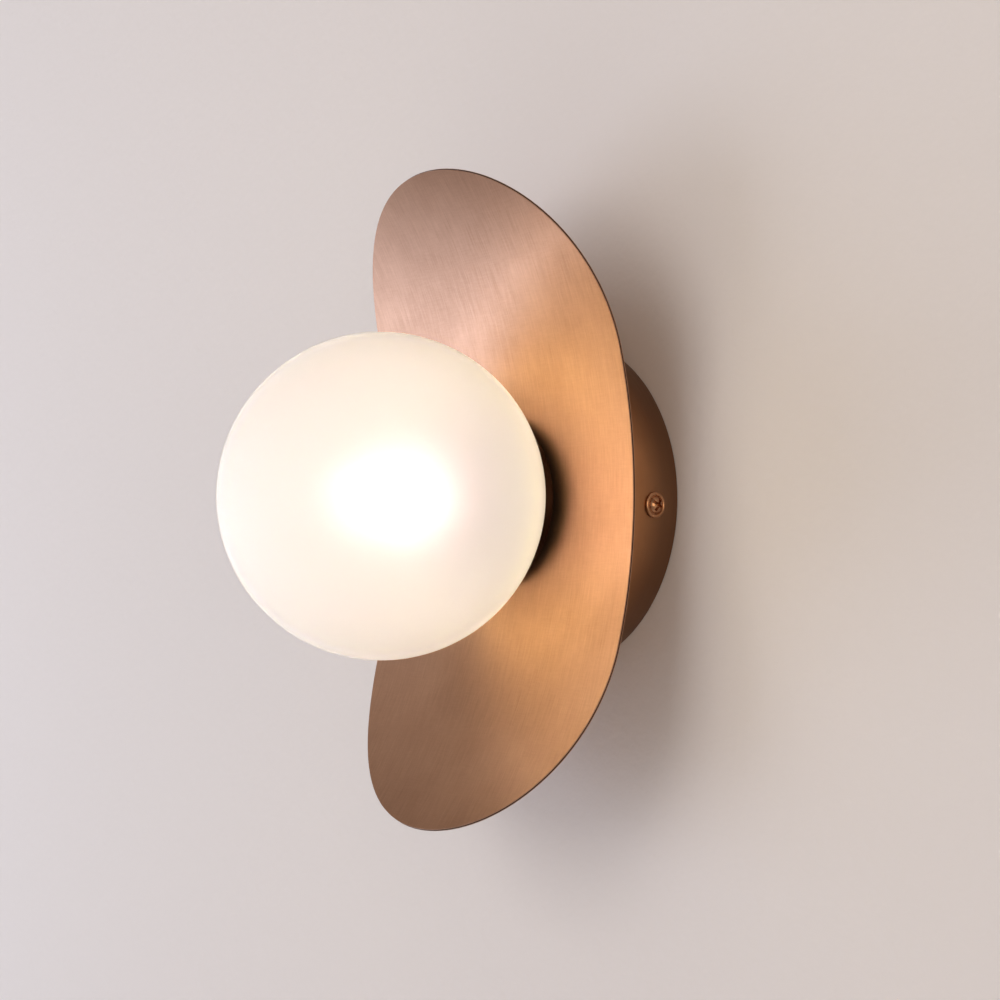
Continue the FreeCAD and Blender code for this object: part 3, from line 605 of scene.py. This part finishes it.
def darkBronze(name, look):
    # the scratches run round the lamp's axis, so the pattern is read by radius, turn and depth
    material, tree, shader, place = newMaterial(name, Metallic=1.0)
    split = tree.nodes.new("ShaderNodeSeparateXYZ")
    link(tree, place, "Object", split, "Vector")
    squareX = mathNode(tree, "MULTIPLY", (split, "X"), (split, "X"))
    square = mathNode(tree, "MULTIPLY_ADD", (split, "Z"), (split, "Z"))
    link(tree, squareX, 0, square, 2)
    radius = mathNode(tree, "SQRT", (square, 0))
    turn = mathNode(tree, "ARCTAN2", (split, "Z"), (split, "X"))
    polar = tree.nodes.new("ShaderNodeCombineXYZ")
    link(tree, radius, 0, polar, "X")
    link(tree, turn, 0, polar, "Y")
    link(tree, split, "Y", polar, "Z")
    grain = useGroup(tree, brushedGrain, Scale=look["rings"])
    link(tree, polar, "Vector", grain, "Vector")
    patches = useGroup(tree, cloudPatches, Size=look["patch"])
    link(tree, place, "Object", patches, "Vector")
    fresh = mixColours(tree, patches, "Mask", look["dark"], look["light"])
    # painted shade: the colour darkens towards the wall, where the canopy meets it
    wallSideShade = maskOver(tree, split, "Y", *look["wallSideShadeRange"])
    mix = mixColours(tree, wallSideShade, "Result", look["dark"], look["wallSideShade"])
    tree.links.new(colourOut(fresh), colourIn(mix, "A"))
    tree.links.new(colourOut(mix), shader.inputs["Base Color"])
    rough = spreadTo(tree, grain, "Mask", *look["rough"])
    link(tree, rough, "Result", shader, "Roughness")
    bumpFrom(tree, grain, "Height", look, shader)
    return material


bronze = darkBronze("darkBronze", bronzeLook)
fitterShadeBronze = darkBronze("fitterShadeBronze", fitterShadeLook)


# Copper plating of the side screws

screwLook = {
    **plated,
    "colour": (0.49, 0.25, 0.13), "second": (0.40, 0.20, 0.10), "rough": (0.22, 0.34),
    "patchSize": 0.004, "speckleScale": 2200.0, "bump": 0.2,
}
screwCopper = plainMaterial("screwCopper", screwLook)


# Opal glass of the globe: satin outside, lit from inside

opalLook = {
    "colour": (0.95, 0.94, 0.96),
    "second": (0.94, 0.92, 0.94),
    "rough": (0.61, 0.68),
    "patchSize": 0.03,
    "speckleScale": 4200.0,
    "bump": 0.08,
    "bumpDepth": 0.00005,
    "shader": {"Transmission Weight": 0.60, "IOR": 1.30, "Emission Strength": 0.10},
    "glow": (0.70, 0.74, 1.18),
    "thrown": (8.6, 7.3, 3.1),
    "centre": (0.0, -0.0733, 0.0),
    "skinRadius": 0.049,
    "reach": 0.1233,
    "depthShares": ((0.029, 0.16), (0.036, 0.64), (0.041, 1.0), (0.056, 0.52), (0.075, 0.44)),
}


def skinLight(tree, place, look):
    # only the outer skin throws light, and the collar and the fitter shade it round the mouth
    fromCentre = addNode(tree, "ShaderNodeVectorMath", operation="DISTANCE")
    fromCentre.inputs[1].default_value = look["centre"]
    link(tree, place, "Object", fromCentre, 0)
    skin = mathNode(tree, "GREATER_THAN", (fromCentre, "Value"), look["skinRadius"])
    split = tree.nodes.new("ShaderNodeSeparateXYZ")
    link(tree, place, "Object", split, "Vector")
    depth = mathNode(tree, "DIVIDE", (split, "Y"), -look["reach"])
    ramp = tree.nodes.new("ShaderNodeValToRGB")
    link(tree, depth, "Value", ramp, "Fac")
    stops = ramp.color_ramp.elements
    stops.remove(stops[1])
    stops[0].position = 0
    for stopDepth, share in look["depthShares"]:
        stops.new(stopDepth / look["reach"]).color = (share, share, share, 1)
    level = mathNode(tree, "MULTIPLY", (skin, "Value"), (ramp, "Color"))
    return mixColours(tree, level, "Value", (0.0, 0.0, 0.0), look["thrown"])


def opalGlass():
    look = opalLook
    material, tree, shader, place = newMaterial("opalGlass", **look["shader"])
    thrown = skinLight(tree, place, look)
    # it throws more light on its surroundings than a picture can show on the glass itself
    path = tree.nodes.new("ShaderNodeLightPath")
    lit = mixColours(tree, path, "Is Camera Ray", look["thrown"], look["glow"])
    tree.links.new(colourOut(thrown), colourIn(lit, "A"))
    tree.links.new(colourOut(lit), shader.inputs["Emission Color"])
    stockSurface(tree, shader, place, look)
    return material


opal = opalGlass()


# The bulb's lit diodes, and its cover, milky from the light that it scatters

diodeLook = {
    "colour": (0.90, 0.62, 0.10), "second": (0.84, 0.55, 0.08), "patchSize": 0.002,
    "glow": (1.0, 0.70, 0.68), "shader": {"Roughness": 0.4, "Emission Strength": 33.0},
}
coverLook = {
    "colour": (0.95, 0.94, 0.92), "second": (0.92, 0.90, 0.87), "patchSize": 0.008,
    "glow": (1.0, 0.74, 0.76),
    "shader": {
        "Roughness": 0.25, "IOR": 1.45, "Transmission Weight": 0.6, "Emission Strength": 4.6,
    },
}
glowFade = {"tip": -0.086, "foot": -0.056, "tipShare": 0.18}


def litMaterial(name, look):
    # the bulb glows most at its foot and less towards its tip
    material, tree, shader, place = newMaterial(name, **look["shader"])
    split = tree.nodes.new("ShaderNodeSeparateXYZ")
    link(tree, place, "Object", split, "Vector")
    fade = maskOver(tree, split, "Y", glowFade["tip"], glowFade["foot"])
    faint = [channel * glowFade["tipShare"] for channel in look["glow"]]
    glow = mixColours(tree, fade, "Result", faint, look["glow"])
    tree.links.new(colourOut(glow), shader.inputs["Emission Color"])
    patchColours(tree, shader, place, look)
    return material


diodeGlow = litMaterial("litDiodes", diodeLook)
cover = litMaterial("clearCover", coverLook)
print("main finishes ready")


# The CAD nodes that are shown as they are

keptNodes = {
    "wall_bracket": "zincSteel",
    "terminal_block": "blockPlastic",
    "terminal_clamps": "clampBrass",
    "terminal_screws": "zincSteel",
    "terminal_fixing_screw": "zincSteel",
    "earth_ring": "zincSteel",
    "earth_screw": "clampBrass",
    "earth_lead": "earthInsulation",
    "live_lead": "liveInsulation",
    "neutral_lead": "neutralInsulation",
    "hollow_nipple": "zincSteel",
    "nipple_bushes": "bushPlastic",
    "rear_lock_washer": "zincSteel",
    "rear_lock_nut": "zincSteel",
    "lampholder_bracket": "zincSteel",
    "front_lock_washer": "zincSteel",
    "front_lock_nut": "zincSteel",
    "lampholder_body": "glazedCeramic",
    "lampholder_contacts": "contactBronze",
    "lampholder_screws": "zincSteel",
    "bulb_base": "bulbPlastic",
    "bulb_pins": "pinWire",
    "bulb_board": "whiteBoard",
    "globe_seal": "sealSilicone",
}
dressing = {node: stock[finish] for node, finish in keptNodes.items()}
dressing.update(bulb_diodes=diodeGlow, bulb_cover=cover, saddle_spacer=fitterShadeBronze)
for node, material in dressing.items():
    nodes[node].data.materials.clear()
    nodes[node].data.materials.append(material)
print("CAD nodes dressed", len(dressing))


# Globe: a blown ball with a bored mouth

globeSize = {
    "radius": 0.050, "glass": 0.0026, "centre": 0.07330, "mouthRadius": 0.0228, "mouth": 0.0288,
    "bore": 0.02165, "outerSteps": 80, "innerSteps": 60, "roundSteps": 144,
    "rimBevel": 0.0003, "rimSegments": 3, "creaseAngle": 40,
}


def makeGlobe():
    size = globeSize
    inner = size["radius"] - size["glass"]
    centre = (0, -size["centre"], 0)
    piece = startPoint("glassGlobe", (0, -size["centre"] - size["radius"], 0))
    mouthAngle = pi - asin(size["mouthRadius"] / size["radius"])
    bpy.ops.mesh.spin(steps=size["outerSteps"], angle=mouthAngle, center=centre, axis=(0, 0, 1))
    boreEnd = size["centre"] - sqrt(inner ** 2 - size["bore"] ** 2)
    drawStops([
        (size["mouthRadius"], size["mouth"]),
        (size["bore"], size["mouth"]),
        (size["bore"], boreEnd),
    ])
    boreAngle = pi - asin(size["bore"] / inner)
    bpy.ops.mesh.spin(steps=size["innerSteps"], angle=-boreAngle, center=centre, axis=(0, 0, 1))
    spinRound(size["roundSteps"])
    leaveEdit()
    for radius in (size["mouthRadius"], size["bore"]):
        bevelRing(piece, radius, size["mouth"], size["rimBevel"], size["rimSegments"])
    smooth(piece, size["creaseAngle"])
    fit(piece, opal, "globe")


makeGlobe()


# Collar in the globe's mouth and the fitter that it screws on to, each with its rib

collarSize = {
    "bore": 0.0201, "radius": 0.0216, "back": 0.0288, "front": 0.0383, "bevel": 0.0005,
    "steps": 120, "creaseAngle": 40,
}
fitterSize = {
    "back": 0.0265, "floor": 0.0280, "lipRadius": 0.0264, "lipWall": 0.0008, "lipFront": 0.0300,
    "core": 0.0182, "bore": 0.0167, "front": 0.0398, "hole": 0.0052, "edge": 0.0005,
    "edgeBreak": 0.00015, "steps": 128, "creaseAngle": 40,
}
ribShape = {
    "bite": 0.00025, "footWidth": 0.0022, "tipWidth": 0.0012, "start": 0.0309, "pitch": 0.004,
    "stepsPerTurn": 60,
}
collarRib = {**ribShape, "foot": 0.0201, "tip": 0.0187, "turns": 1.35, "side": -1}
fitterRib = {**ribShape, "foot": 0.0182, "tip": 0.0196, "turns": 1.75, "side": 1}


def makeCollar():
    size = collarSize
    front = size["front"] - size["bevel"]
    piece = turned("threadedCollar", [
        (size["bore"], size["back"]),
        (size["radius"], size["back"]),
        (size["radius"], front),
        (size["radius"] - size["bevel"], size["front"]),
        (size["bore"] + size["bevel"], size["front"]),
        (size["bore"], front),
        (size["bore"], size["back"]),
    ], size["steps"])
    piece = joined([piece, threadRib("collarRib", collarRib)])
    smooth(piece, size["creaseAngle"])
    fit(piece, stock["collarPlastic"], "globe_collar")


def makeFitter():
    size = fitterSize
    piece = turned("globeFitter", [
        (size["hole"], size["back"]),
        (size["lipRadius"] - size["edge"], size["back"]),
        (size["lipRadius"], size["back"] + size["edge"]),
        (size["lipRadius"], size["lipFront"]),
        (size["lipRadius"] - size["lipWall"], size["lipFront"]),
        (size["lipRadius"] - size["lipWall"], size["floor"]),
        (size["core"], size["floor"]),
        (size["core"], size["front"] - size["edge"]),
        (size["core"] - size["edge"], size["front"]),
        (size["bore"], size["front"]),
        (size["bore"], size["floor"]),
        (size["hole"], size["floor"]),
        (size["hole"], size["back"]),
    ], size["steps"])
    breakEdges(piece, size["edgeBreak"])
    piece = joined([piece, threadRib("fitterRib", fitterRib)])
    smooth(piece, size["creaseAngle"])
    fit(piece, fitterShadeBronze, "globe_fitter")


makeCollar()
makeFitter()


# Copper plate: a strip spun up round its bend, narrowed row by row, mirrored and thickened

plateSize = {
    "halfWidth": 0.059, "straight": 0.04375, "end": 0.066, "bendRadius": 0.167, "front": 0.024,
    "thickness": 0.001, "edgeBreak": 0.00016, "thickenSide": 1,
    "hole": 0.0052, "drillLength": 0.02, "drillSides": 64,
    "acrossSteps": 18, "straightSteps": 8, "endSteps": 36, "creaseAngle": 20,
}


def plateRows():
    # (length from the middle, share of the full width) of each row, up to the tip
    size = plateSize
    rows = []
    for step in range(1, size["straightSteps"] + 1):
        rows.append((size["straight"] * step / size["straightSteps"], 1.0))
    for step in range(1, size["endSteps"] + 1):
        lean = pi / 2 * step / size["endSteps"]
        rows.append((size["straight"] + size["end"] * sin(lean), max(cos(lean), 0.0)))
    return rows


def makePlate():
    size = plateSize
    axisPlace = (0, -size["front"] - size["bendRadius"], 0)
    piece = startPoint("copperPlate", (-size["halfWidth"], -size["front"], 0))
    for step in range(size["acrossSteps"]):
        drawTo((2 * size["halfWidth"] / size["acrossSteps"], 0, 0))
    bpy.ops.mesh.select_all(action="SELECT")
    lastLength, lastWidth = 0.0, 1.0
    for length, width in plateRows():
        turn = (length - lastLength) / size["bendRadius"]
        bpy.ops.mesh.spin(steps=1, angle=turn, center=axisPlace, axis=(1, 0, 0))
        bpy.ops.transform.resize(value=(width / lastWidth, 1, 1), center_override=(0, 0, 0))
        lastLength, lastWidth = length, width
    mergeAndFaceOut()
    leaveEdit()
    applyModifier(piece, "MIRROR", use_axis=(False, False, True), use_mirror_merge=True,
                  merge_threshold=mirrorGap)
    edit(piece)
    mergeAndFaceOut()
    leaveEdit()
    return piece


def finishPlate(piece):
    # thickened away from the globe, drilled for the nipple, its cut edge broken
    size = plateSize
    applyModifier(piece, "SOLIDIFY", thickness=size["thickness"], offset=size["thickenSide"])
    edit(piece)
    mergeAndFaceOut()
    leaveEdit()
    drill(piece, size["drillSides"], size["hole"], size["drillLength"],
          (0, -size["front"], 0), (pi / 2, 0, 0))
    breakEdges(piece, size["edgeBreak"])
    smooth(piece, size["creaseAngle"])
    fit(piece, copper, "curved_plate")


finishPlate(makePlate())


# Canopy: a pressed cup with a rolled front edge, drilled in its sides for the screws

canopySize = {
    "radius": 0.054, "depth": 0.023, "wall": 0.0012, "hole": 0.0052,
    "edgeRadius": 0.0022, "edgeSegments": 6, "rimBreak": 0.0002, "rimSegments": 2,
    "screwHole": 0.0022, "screwDepth": 0.0100, "screwDrop": 0.0021,
    "drillReach": 2.2, "drillSides": 48, "steps": 160, "creaseAngle": 35,
}


def makeCanopy():
    size = canopySize
    inner = size["radius"] - size["wall"]
    inside = size["depth"] - size["wall"]
    piece = turned("canopyCup", [
        (size["hole"], size["depth"]),
        (size["radius"], size["depth"]),
        (size["radius"], 0),
        (inner, 0),
        (inner, inside),
        (size["hole"], inside),
        (size["hole"], size["depth"]),
    ], size["steps"])
    bevelRing(piece, size["radius"], size["depth"], size["edgeRadius"], size["edgeSegments"])
    bevelRing(piece, size["radius"], 0, size["rimBreak"], size["rimSegments"])
    # one drill goes through both sides
    drill(piece, size["drillSides"], size["screwHole"], size["drillReach"] * size["radius"],
          (0, -size["screwDepth"], -size["screwDrop"]), (0, pi / 2, 0))
    smooth(piece, size["creaseAngle"])
    fit(piece, bronze, "canopy")


makeCanopy()


# Side screws: low heads with a rim, a groove, a domed middle and a cross recess

screwSize = {
    "headRadius": 0.004, "headHeight": 0.0019, "length": 0.008, "steps": 64,
    "crossWidth": 0.0010, "crossLength": 0.0040, "crossDepth": 0.0014, "crossTurn": 28,
    "creaseAngle": 35,
}
# (share of the head's radius, share of its height, or of the shank's length where below 0)
screwStopShares = [
    (0.0, -1.0), (0.50, -1.0), (0.50, 0.0), (0.97, 0.0), (1.0, 0.06), (1.0, 0.26), (0.97, 0.36),
    (0.91, 0.43), (0.84, 0.44), (0.78, 0.41), (0.745, 0.33), (0.71, 0.20), (0.67, 0.22),
    (0.64, 0.38), (0.58, 0.56), (0.48, 0.75), (0.36, 0.89), (0.20, 0.98), (0.0, 1.0),
]


def makeSideScrew(side):
    size = screwSize
    stops = []
    for radius, rise in screwStopShares:
        height = rise * (size["headHeight"] if rise > 0 else size["length"])
        stops.append((radius * size["headRadius"], height))
    piece = turned("sideScrew", stops, size["steps"])
    cross = (size["crossLength"], size["crossWidth"])
    for length, width in (cross, cross[::-1]):
        bpy.ops.object.select_all(action="DESELECT")
        bpy.ops.mesh.primitive_cube_add(
            size=1, location=(0, -size["headHeight"], 0),
            rotation=(0, radians(size["crossTurn"]), 0))
        tool = bpy.context.object
        tool.scale = (length, 2 * size["crossDepth"], width)
        pick(tool)
        bpy.ops.object.transform_apply(location=True, rotation=True, scale=True)
        cutAway(piece, tool)
    place = (side * canopySize["radius"], -canopySize["screwDepth"], -canopySize["screwDrop"])
    placeMesh(piece, (0, 0, side * pi / 2), place)
    return piece


def makeSideScrews():
    piece = joined([makeSideScrew(1), makeSideScrew(-1)])
    smooth(piece, screwSize["creaseAngle"])
    fit(piece, screwCopper, "side_screws")


makeSideScrews()


# Camera at the photograph's angle

cameraView = {
    "turn": 50.373, "lift": -2.414, "roll": 0.421, "distance": 0.5669,
    "right": -0.020402, "up": 0.001218, "lens": 61.236, "sensor": 36.0, "clipStart": 0.01,
}


def makeCamera():
    view = cameraView
    turn, lift, roll = (radians(view[key]) for key in ("turn", "lift", "roll"))
    back = Vector((sin(turn) * cos(lift), -cos(turn) * cos(lift), sin(lift)))
    level = Vector((cos(turn), sin(turn), 0))
    above = back.cross(level)
    right = level * cos(roll) + above * sin(roll)
    up = above * cos(roll) - level * sin(roll)
    data = bpy.data.cameras.new("photoCamera")
    data.lens = view["lens"]
    data.sensor_width = view["sensor"]
    data.clip_start = view["clipStart"]
    camera = bpy.data.objects.new("photoCamera", data)
    bpy.context.scene.collection.objects.link(camera)
    axes = Matrix((right, up, back)).transposed().to_4x4()
    place = right * view["right"] + up * view["up"] + back * view["distance"]
    camera.matrix_world = Matrix.Translation(place) @ axes
    bpy.context.scene.camera = camera
    print("camera at", [round(value, 4) for value in place])


makeCamera()


# Wall, lights and surroundings

stageLook = {
    "wall": (0.83, 0.765, 0.72), "floor": (0.80, 0.81, 0.82), "speckleScale": 260.0,
    "bump": 0.25, "bumpDepth": 0.001, "shader": {"Roughness": 0.9},
    "size": 8.0, "gap": 0.0003, "floorDrop": 1.25, "wallBox": 0.050,
}


def stagePaint(name, colour):
    # from behind, a stage surface lets the lamp be seen through it,
    # and light comes in by the wall's box, a round hole that the canopy covers
    material, tree, shader, place = newMaterial(name, **stageLook["shader"])
    shader.inputs["Base Color"].default_value = (*colour, 1)
    speckleBump(tree, shader, place, stageLook)
    clear = tree.nodes.new("ShaderNodeBsdfTransparent")
    sides = tree.nodes.new("ShaderNodeNewGeometry")
    mix = tree.nodes.new("ShaderNodeMixShader")
    output = tree.nodes["Material Output"]
    away = addNode(tree, "ShaderNodeVectorMath", operation="LENGTH")
    link(tree, place, "Object", away, 0)
    hole = mathNode(tree, "LESS_THAN", (away, "Value"), stageLook["wallBox"])
    seeThrough = mathNode(tree, "MAXIMUM", (sides, "Backfacing"), (hole, "Value"))
    link(tree, seeThrough, "Value", mix, "Fac")
    tree.links.new(shader.outputs[0], mix.inputs[1])
    tree.links.new(clear.outputs[0], mix.inputs[2])
    tree.links.new(mix.outputs[0], output.inputs["Surface"])
    return material


def makeStage(name, colour, turn, place):
    bpy.ops.object.select_all(action="DESELECT")
    bpy.ops.mesh.primitive_plane_add(size=stageLook["size"], location=(0, 0, 0))
    surface = bpy.context.object
    surface.name = name
    placeMesh(surface, turn, place)
    surface.data.materials.append(stagePaint(name + "Paint", colour))


makeStage("studioWall", stageLook["wall"], (pi / 2, 0, 0), (0, stageLook["gap"], 0))
makeStage("studioFloor", stageLook["floor"], (0, 0, 0), (0, 0, -stageLook["floorDrop"]))

lampAim = Vector((0, -0.05, 0))
lamps = {
    "leftLight": {
        "place": (-1.3, -0.9, -0.22), "width": 1.3, "height": 0.76, "power": 8.2,
        "colour": (0.80, 0.95, 1.24),
    },
    "frontLight": {
        "place": (-0.1, -1.7, 0.5), "width": 1.2, "height": 1.2, "power": 8.0,
        "colour": (1.0, 0.96, 0.96),
    },
    "warmLight": {
        "place": (1.3, -0.5, 0.1), "width": 0.8, "height": 0.8, "power": 3.5,
        "colour": (1.0, 0.84, 0.62),
    },
}


def makeLamp(name, lamp):
    data = bpy.data.lights.new(name, "AREA")
    data.shape = "RECTANGLE"
    data.size = lamp["width"]
    data.size_y = lamp["height"]
    data.energy = lamp["power"]
    data.color = lamp["colour"]
    light = bpy.data.objects.new(name, data)
    bpy.context.scene.collection.objects.link(light)
    light.location = lamp["place"]
    aim = lampAim - Vector(lamp["place"])
    light.rotation_euler = aim.to_track_quat("-Z", "Y").to_euler()


for name, lamp in lamps.items():
    makeLamp(name, lamp)


worldLook = {"horizon": (0.88, 0.84, 0.81), "zenith": (0.30, 0.22, 0.17), "strength": 0.60}


def makeWorld():
    # pale at the horizon and dimmer overhead
    world = bpy.data.worlds.new("studioAir")
    world.use_nodes = True
    tree = world.node_tree
    place = tree.nodes.new("ShaderNodeTexCoord")
    split = tree.nodes.new("ShaderNodeSeparateXYZ")
    link(tree, place, "Generated", split, "Vector")
    rise = spreadTo(tree, split, "Z", 0.0, 1.0)
    mix = mixColours(tree, rise, "Result", worldLook["horizon"], worldLook["zenith"])
    background = tree.nodes["Background"]
    tree.links.new(colourOut(mix), background.inputs["Color"])
    background.inputs["Strength"].default_value = worldLook["strength"]
    bpy.context.scene.world = world


makeWorld()
bpy.context.scene.view_settings.view_transform = "Standard"
print("studio ready")
